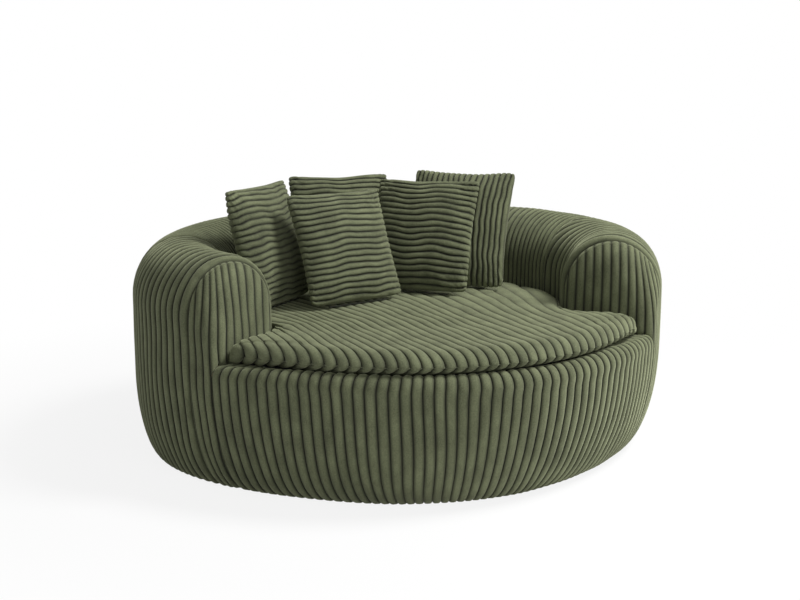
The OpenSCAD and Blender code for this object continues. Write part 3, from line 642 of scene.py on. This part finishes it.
def cushion_grid():
    """Sections from front to back, with ribs that slant 0.16 sideways for each metre behind the lip.

    The lip is bull-nosed, curls in below and rises 16 mm (1 - (x / 0.604)^6), fading over 0.3 m. The top
    has a crown of 16 mm (1 - (x / 0.604)^2) sin(180 f), f being the share of the way back. Top and
    underside bend round the arms' corners."""
    table_x, table_end, corner, bend_y = back_table()
    edge = in_by(np.linspace(270, 352, 3000), FRONT_CLEAR)
    side = (1 - np.linspace(0.86 * corner / TIP_X, 1, 150)) * CUSHION_RIBS / 2
    u = np.unique(np.concatenate([phases(CUSHION_RIBS), side, CUSHION_RIBS - side]))
    x = (2 * u / CUSHION_RIBS - 1) * TIP_X
    p = np.abs(x)
    inward = TIP_BACK * (p / TIP_X) ** 5 + LIP_BACK * (1 - (p / TIP_X) ** 4)
    a = np.stack([x, np.interp(p, edge[:, 0], edge[:, 1]) + inward], -1)
    end_x, end_y = (np.interp(p, table_x, table_end[:, k]) for k in range(2))
    b = np.stack([np.sign(x) * end_x, end_y], -1)
    c = np.where((p <= corner)[:, None], np.stack([x, 0 * x + bend_y], -1), (a + b) / 2)
    front, behind = np.linalg.norm(c - a, axis=-1), np.linalg.norm(b - c, axis=-1)
    way_a, way_b = (c - a) / front[:, None], (b - c) / behind[:, None]
    edge_a, edge_b = np.minimum(CUSHION_EDGE, 0.8 * front), np.minimum(CUSHION_BACK_EDGE, 0.8 * behind)
    under_a, under_b = np.minimum(UNDERCUT, 0.6 * front), np.minimum(UNDERCUT_BACK, 0.6 * behind)
    tall = CUSHION_T * np.sqrt(1 - np.minimum(p / (TIP_X + 0.002), 1) ** 40)
    rise = LIP_RISE * (1 - (p / TIP_X) ** 6)
    rows = []
    for share in np.linspace(0, 1, 17)[:-1]:
        lean = under_a * (1 - share) ** 1.6
        rows.append((a + lean[:, None] * way_a, (tall + rise) * WIDEST * share))
    for turn in np.linspace(0, 90, 12):
        lean = (1 - cos_of(turn)) * edge_a
        rows.append((a + lean[:, None] * way_a, (tall + rise) * (WIDEST + (1 - WIDEST) * sin_of(turn))))
    total = front + behind

    def risen(far):
        return rise * np.clip(1 - (far - edge_a) / LIP_FADE, 0, 1) ** 1.5

    def bent(far):
        return np.where((far < front)[:, None], a + far[:, None] * way_a, c + (far - front)[:, None] * way_b)

    for f in np.linspace(0, 1, 62)[1:-1]:
        far = edge_a + (total - edge_a - edge_b) * f
        lift = CROWN * (1 - (x / TIP_X) ** 2) * sin_of(180 * far / total) * np.clip(8 * min(f, 1 - f), 0, 1)
        rows.append((bent(far), tall + lift + risen(far)))
    for turn in np.linspace(90, -90, 19):
        lean = (1 - cos_of(turn)) * (under_b if turn < 0 else edge_b)
        z = (tall + risen(total - edge_b)) * (WIDEST + (WIDEST if turn < 0 else 1 - WIDEST) * sin_of(turn))
        rows.append((b - lean[:, None] * way_b, z))
    for f in np.linspace(1, 0, 18)[1:-1]:
        rows.append((bent(under_a + (total - under_a - under_b) * f), 0 * x))
    foot = TIP_FOOT * (p / TIP_X) ** 6
    lifted = [(q, CUSHION_Z + foot + z * (1 - foot / CUSHION_T)) for q, z in rows]
    grid = np.stack([np.concatenate([q, z[:, None]], -1) for q, z in lifted], 1)
    follow = np.clip((SLANT_END - p) / SLANT_RUN, 0, 1)[:, None]
    slant = RIB_SLANT * np.maximum(grid[..., 1] - a[:, 1:], 0)
    sway = CUSHION_SWAY * waver(grid[..., 1] * 0.6, grid[..., 0] * 0.6, 71)
    spot = x[:, None] - slant * follow - sway * (1 - (p / TIP_X) ** 20)[:, None]
    moved = [[np.interp(at, x, line) for at, line in zip(spot.T, grid[..., k].T)] for k in range(3)]
    return np.array(moved).transpose(2, 1, 0), np.broadcast_to(u[:, None], spot.shape)


def capped(points):
    """A tube of rings with its first and last ring closed at their middles."""
    ends = [np.repeat(end.mean(1, keepdims=True), points.shape[1], 1) for end in (points[:1], points[-1:])]
    return np.concatenate([ends[0], points, ends[1]])


def cushion():
    """The ribbed cushion and the foam in it, pushed in along the normals: 2.1 mm + 8 mm (1 - wale).

    On the lip it is 0.5 mm + 11.5 mm (1 - wale). A seam runs round the sides."""
    p, phase = cushion_grid()
    whole = np.concatenate([p[:, -1:], p, p[:, :1]], 1)
    # Its columns run round the section, so that the grid's own normals point inward
    n = -grid_normals(whole)[:, 1:-1]
    x, y, z = p[..., 0], p[..., 1], p[..., 2] - CUSHION_Z
    row = along(p, 1)
    rim = np.clip((0.05 - z) / 0.02, 0, 1)
    seam = pinch(z - CUSHION_SEAM_Z, SEAM_DIP, SEAM_WIDTH)
    deep = (1 - wale(phase)) * np.clip((TIP_X - np.abs(x)) / 0.012, 0.2, 1)
    swell = SWELL * waver(x, y, 73) * (1 - rim)
    free = rim * np.clip((-y - 0.1) / 0.1, 0, 1)
    push = -CREST_IN + CREST_FREE * free - (GROOVE_IN + GROOVE_FREE * free) * deep - seam
    push = np.where(z < 0.001, -UNDER_GROOVE * deep, push + np.minimum(swell, MOST_SWELL))
    points = p + push[..., None] * n
    points[..., 2] = np.maximum(points[..., 2], CUSHION_Z)

    def wide(v):
        return np.concatenate([v[:1], v, v[-1:]])

    uv = np.stack([wide(phase), wide(row)], -1)
    # The third value is painted groove shade, made stronger on the free lip.
    grid = (capped(points)[::-1], uv[::-1], painted_groove_shade(wide(deep * (0.8 + 0.25 * free))[::-1]), True)
    obj = make_mesh("seat_cushion_cord", [grid], "seat_cushion", "corduroy")
    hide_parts("cushion_cover")
    middle = FOAM_MIDDLE + (0, 0, CUSHION_Z)
    inner = capped(middle + (p[::-1] - middle) * FOAM_SHARES)
    foam_grid = (inner, inner[..., :2], 0 * inner[..., 0], True)
    foam = make_mesh("seat_cushion_foam", [foam_grid], "seat_cushion", "foam")
    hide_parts("cushion_foam")


cushion()

# Pillows: foot x and y, turn, lean, width, height, ribs run up, seed
PILLOWS = [(-0.362, 0.05, 46, 14, 0.340, 0.376, False, 31),
           (-0.098, 0.266, -1, 20, 0.342, 0.370, False, 32),
           (-0.150, -0.042, 19, 23, 0.344, 0.356, False, 33),
           (0.066, 0.072, -36, 22, 0.346, 0.368, False, 34),
           (0.212, 0.148, -36, 22, 0.353, 0.384, True, 35)]
PILLOW_T, SEAM_T, DRAWN, CORNER = 0.112, 0.005, 0.012, 0.010
PILLOW_RIB, PILLOW_GROOVE, PILLOW_CLEAR, PILLOW_TRIM = 0.019, 0.0065, 0.003, 0.987
COARSE, PRESSURE, FRAMES, CAP = 33, 4.0, 20, 0.014
FILL_SHARES = np.array([0.92, 0.76, 0.92])
CRUMPLE, SLACK, EDGE_WAVE, AT_EDGE = 0.004, 0.006, 0.002, 0.99999


def puff(v):
    """A stuffed section's share: (1 - |v|^2.6)^0.55."""
    return np.maximum(1 - np.abs(v) ** 2.6, 0) ** 0.55


def half_thick(u, v, up):
    """A pillow's half thickness over u, v in -1..1: (5 mm + 51 mm puff(across)) (1 - length^2)^0.42."""
    across, length = (u, v) if up else (v, u)
    return (SEAM_T + (PILLOW_T / 2 - SEAM_T) * puff(across)) * np.maximum(1 - length ** 2, 0) ** 0.42


def pillow_side(u, v, width, height, face, up):
    """A pillow's side over u, v in -1..1, half_thick thick and drawn in between its corners."""
    thick = half_thick(u, v, up)
    corner = CORNER * np.abs(u * v) ** 9
    x = u * (width / 2 - DRAWN * (1 - v * v)) - np.sign(u) * corner
    z = height / 2 * (1 + v) - np.where(v > 0, v ** 4 * DRAWN * (1 - u * u), 0) - np.sign(v) * corner
    return np.stack([x, face * thick, z], -1)


def spread(at, count):
    """Weights that carry count even samples over -1..1 to other places, by Catmull-Rom cubics."""
    x = (at + 1) / 2 * (count - 1)
    i = np.clip(np.floor(x).astype(int), 0, count - 2)
    f = x - i
    cubics = ((2 * f ** 2 - f - f ** 3) / 2, (2 - 5 * f ** 2 + 3 * f ** 3) / 2,
              (f + 4 * f ** 2 - 3 * f ** 3) / 2, (f ** 3 - f ** 2) / 2)
    weights = np.zeros((len(at), count))
    for k, values in enumerate(cubics):
        np.add.at(weights, (np.arange(len(at)), np.clip(i + k - 1, 0, count - 1)), values)
    return weights


def coarse_sides(width, height, up, seed):
    """A pillow's two sides before stuffing, slack and crumpled, on angles evenly spaced edge to edge."""
    u, v = np.meshgrid(sin_of(np.linspace(-90, 90, COARSE)), sin_of(np.linspace(-90, 90, COARSE)))
    sides = []
    for face in (-1, 1):
        p = pillow_side(u, v, width, height, face, up)
        inside = (1 - u ** 8) * (1 - v ** 8)
        crumple = waver(p[..., 0], p[..., 2], seed + face, 0.7)
        p[..., 1] += face * inside * (CRUMPLE * crumple - SLACK)
        edge_wave = EDGE_WAVE * (waver(0.2 * u, 0.2 * v, seed + 3) - 0.6)
        p[..., 0] += np.sign(u) * u ** 6 * edge_wave
        p[..., 2] += (v > 0) * v ** 6 * edge_wave
        sides.append(p)
    return sides


def quads_of(at):
    """The four corner numbers of each face of a grid of point numbers."""
    return np.stack([at[:-1, :-1], at[:-1, 1:], at[1:, 1:], at[1:, :-1]], -1).reshape(-1, 4)


def stuff(pairs):
    """Blows each pair of sides up as cloth: 20 frames, pressure 4, no gravity, no point moved over 14 mm."""
    n = COARSE
    front = np.arange(n * n).reshape(n, n)
    behind = front.copy()
    behind[1:-1, 1:-1] = n * n + np.arange((n - 2) ** 2).reshape(n - 2, n - 2)
    quads = [quads_of(numbers) for numbers in (front, behind)]
    made = []
    for sides in pairs:
        points = np.concatenate([sides[0].reshape(-1, 3), sides[1][1:-1, 1:-1].reshape(-1, 3)])
        mesh = bpy.data.meshes.new("stuffing")
        mesh.from_pydata(points.tolist(), [], np.concatenate([quads[0], quads[1][:, ::-1]]).tolist())
        obj = bpy.data.objects.new("stuffing", mesh)
        scene.collection.objects.link(obj)
        rim = np.concatenate([front[0], front[-1], front[1:-1, 0], front[1:-1, -1]])
        obj.vertex_groups.new(name="rim").add(rim.tolist(), 1.0, "REPLACE")
        cloth = obj.modifiers.new("cloth", "CLOTH")
        cloth.settings.vertex_group_mass = "rim"
        cloth.settings.quality = 6
        cloth.settings.tension_stiffness = cloth.settings.compression_stiffness = 12
        cloth.settings.bending_stiffness = 0.3
        cloth.settings.use_pressure = True
        cloth.settings.uniform_pressure_force = PRESSURE
        cloth.settings.effector_weights.gravity = 0
        cloth.point_cache.frame_start, cloth.point_cache.frame_end = 1, FRAMES
        made.append((obj, points))
    for step in range(1, FRAMES + 1):
        scene.frame_set(step)
    graph = bpy.context.evaluated_depsgraph_get()
    stuffed = []
    for obj, points in made:
        moved = np.zeros(points.size, np.float32)
        obj.evaluated_get(graph).data.vertices.foreach_get("co", moved)
        shift = moved.reshape(-1, 3) - points
        far = np.linalg.norm(shift, axis=1, keepdims=True)
        points = points + shift * np.minimum(1, CAP / np.maximum(far, 1e-9))
        stuffed.append([points[front], points[behind]])
    for obj, _ in made:
        bpy.data.objects.remove(obj)
    scene.frame_set(1)
    return stuffed


def pillow(number, sides, x, y, turn, lean, width, height, up, seed):
    """Carries the stuffed sides to a fine grid, 1.3% smaller than the solid and up to 3 mm inside it.

    Grooves of 6.5 mm (1 - wale) go in along the normals. Then the pillow leans, turns and is set down."""
    name = f"pillow_{number}"
    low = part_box(name + "_cover")[0].z
    z = np.linspace(0, 0.04, 21)
    thick = SEAM_T + (PILLOW_T / 2 - SEAM_T) * puff(2 * z / height - 1)
    drop = np.max(thick * sin_of(lean) - z * cos_of(lean))
    turned = Matrix.Rotation(np.radians(turn), 3, "Z") @ Matrix.Rotation(np.radians(-lean), 3, "X")
    foot = np.array([x, y, low + drop])
    ribs = round((width if up else height) / PILLOW_RIB)
    lanes = phases(ribs) / ribs * 2 - 1
    ends = sin_of(np.linspace(-90, 90, 75))
    u_line, v_line = (lanes, ends) if up else (ends, lanes)
    u, v = np.meshgrid(u_line, v_line)
    across_w, along_w = (spread(np.degrees(np.arcsin(line)) / 90, COARSE) for line in (u_line, v_line))
    rim = np.clip(np.maximum(np.abs(u), np.abs(v)) * 14 - 13, 0, 1)
    edge = np.maximum(np.abs(u), np.abs(v)) > AT_EDGE
    outer = np.stack([np.sign(u) * (np.abs(u) > AT_EDGE), 0 * u, np.sign(v) * (np.abs(v) > AT_EDGE)], -1)
    grids = []
    for face, side in zip((-1, 1), sides):
        p = np.einsum("ia,abk,jb->ijk", along_w, side, across_w)
        p[..., 0] *= PILLOW_TRIM
        p[..., 2] *= PILLOW_TRIM
        own_v = np.clip(2 * p[..., 2] / height - 1, -1, 1)
        own_u = np.clip(p[..., 0] / (width / 2 - DRAWN * (1 - own_v ** 2)), -1, 1)
        most = half_thick(own_u, own_v, up) - PILLOW_CLEAR * np.clip((own_v + 1) / 0.3, 0.4, 1)
        p[..., 1] = face * np.minimum(face * p[..., 1], np.maximum(most, 0))
        p[edge, 1] = 0
        n = grid_normals(p)
        n *= np.sign(n[..., 1].mean()) * face
        n = np.where(edge[..., None], outer / np.maximum(np.linalg.norm(outer, axis=-1, keepdims=True), 1), n)
        cross, length = (p[..., 0], p[..., 2]) if up else (p[..., 2], p[..., 0])
        slow = 0.32 * waver(length * 1.2, cross * 0.5, seed + face)
        sway = slow + 0.12 * waver(length * 3, cross * 2, seed + 9)
        phase = ((u if up else v) + 1) / 2 * ribs + sway * (1 - rim)
        deep = (1 - wale(phase)) * (1 - 0.4 * rim)
        q = p - (PILLOW_GROOVE * deep)[..., None] * n
        q[edge, 1] = 0
        q = q @ np.array(turned).T + foot
        uv = np.stack([phase + 100 * seed, length], -1)
        # The third value is painted groove shade, 1.4 times the groove's depth share.
        grid = (q, uv, painted_groove_shade(1.4 * deep), False)
        grids.append(grid if face < 0 else flipped(grid))
    obj = make_mesh(name + "_cord", grids, name, "corduroy")
    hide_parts(name + "_cover")
    filling(name, sides, np.array(turned).T, foot, height)


def filling(name, sides, turned, foot, height):
    """The fibre inside a pillow: its stuffed sides drawn in towards its middle."""
    grids = []
    for face, side in zip((-1, 1), sides):
        p = (side - (0, 0, height / 2)) * FILL_SHARES + (0, 0, height / 2)
        p = p @ turned + foot
        flat = 0 * p[..., :2]
        grid = (p, flat, flat[..., 0], False)
        grids.append(grid if face < 0 else flipped(grid))
    obj = make_mesh(name + "_fibre", grids, name, "fibre")
    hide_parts(name + "_fill")


pillow_sides = [coarse_sides(*row[4:]) for row in PILLOWS]
pillow_sides = stuff(pillow_sides)
for number, (sides, values) in enumerate(zip(pillow_sides, PILLOWS), 1):
    pillow(number, sides, *values)


# The dark cloth over the deck, under the cushion
SHEET_MARGIN, SHEET_T, SHEET_SLACK, SHEET_DROP = 0.0032, 0.0015, 0.0012, 0.0004


def deck():
    """A sheet inside the roll's inner wall and the front fold, rings from its middle out, a little slack."""
    along_roll = np.linspace(NOSE_END, 180 - NOSE_END, 260)
    along_front = np.linspace(180 - NOSE_END, 360 + NOSE_END, 90)[1:-1]
    t = np.concatenate([along_roll, along_front])
    on_roll = t <= 180 - NOSE_END
    inset = np.where(on_roll, np.maximum(inner_s(t), FRONT_FOLD), FRONT_FOLD) + SHEET_MARGIN
    rim = in_by(t, inset)[::-1]
    middle = np.array([0, -0.1])
    share = np.linspace(0, 1, 30)[:, None, None]
    flat = middle + share * (rim - middle)
    slack = SHEET_SLACK * (waver(flat[..., 0], flat[..., 1], 91) - 1.2) * (1 - share[..., 0] ** 6)
    p = np.concatenate([flat, (DECK_Z - SHEET_DROP + slack)[..., None]], -1)
    obj = make_mesh("deck_sheet", [(p, flat, 0 * p[..., 0], True)], "base", "dust_cloth")
    solid = obj.modifiers.new("thickness", "SOLIDIFY")
    solid.thickness = SHEET_T
    solid.offset = -1
    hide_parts("deck_cloth")


deck()

# Floor, light and background
SKY = 0.22
bpy.ops.mesh.primitive_plane_add(size=60)
floor = bpy.context.object
floor.name = "floor"
ground = new_nodes("floor")
ground.shader.inputs["Base Color"].default_value = (0.86, 0.86, 0.86, 1)
ground.shader.inputs["Roughness"].default_value = 0.9
from_middle = ground.value("ShaderNodeVectorMath", {"operation": "LENGTH"}, {0: ground.coords()}, out=1)
glow_share = ground.value("ShaderNodeMapRange", {"interpolation_type": "SMOOTHSTEP"},
                          {"Value": from_middle, "From Min": 0.9, "From Max": 2.2, "To Min": 0.86,
                           "To Max": 1.0})
glow = ground.add("ShaderNodeEmission", {}, {"Strength": 1.0})
mixed = {0: glow_share * ground.seen(), 1: ground.shader.outputs[0], 2: glow}
ground.put(ground.tree.nodes["Material Output"].inputs["Surface"],
           ground.add("ShaderNodeMixShader", {}, mixed))
floor.data.materials.append(ground.owner)

world = bpy.data.worlds.new("studio")
scene.world = world
sky = Nodes(world)
background = sky.tree.nodes["Background"]
background.inputs["Color"].default_value = (1, 1, 1, 1)
sky.put(background.inputs["Strength"], SKY + sky.seen() * (1 - SKY))


def lamp(name, spot, aim, size, power):
    """A round area light at spot, aimed at a point."""
    light = bpy.data.lights.new(name, "AREA")
    light.shape = "DISK"
    light.size = size
    light.energy = power
    obj = bpy.data.objects.new(name, light)
    obj.location = spot
    obj.rotation_euler = (Vector(aim) - Vector(spot)).to_track_quat("-Z", "Y").to_euler()
    scene.collection.objects.link(obj)


lamp("key", (2.3, -1.1, 3.9), (0, 0, 0.3), 1.6, 225)
lamp("fill", (0.2, -4.4, 2.0), (0, 0, 0.3), 2.6, 42)
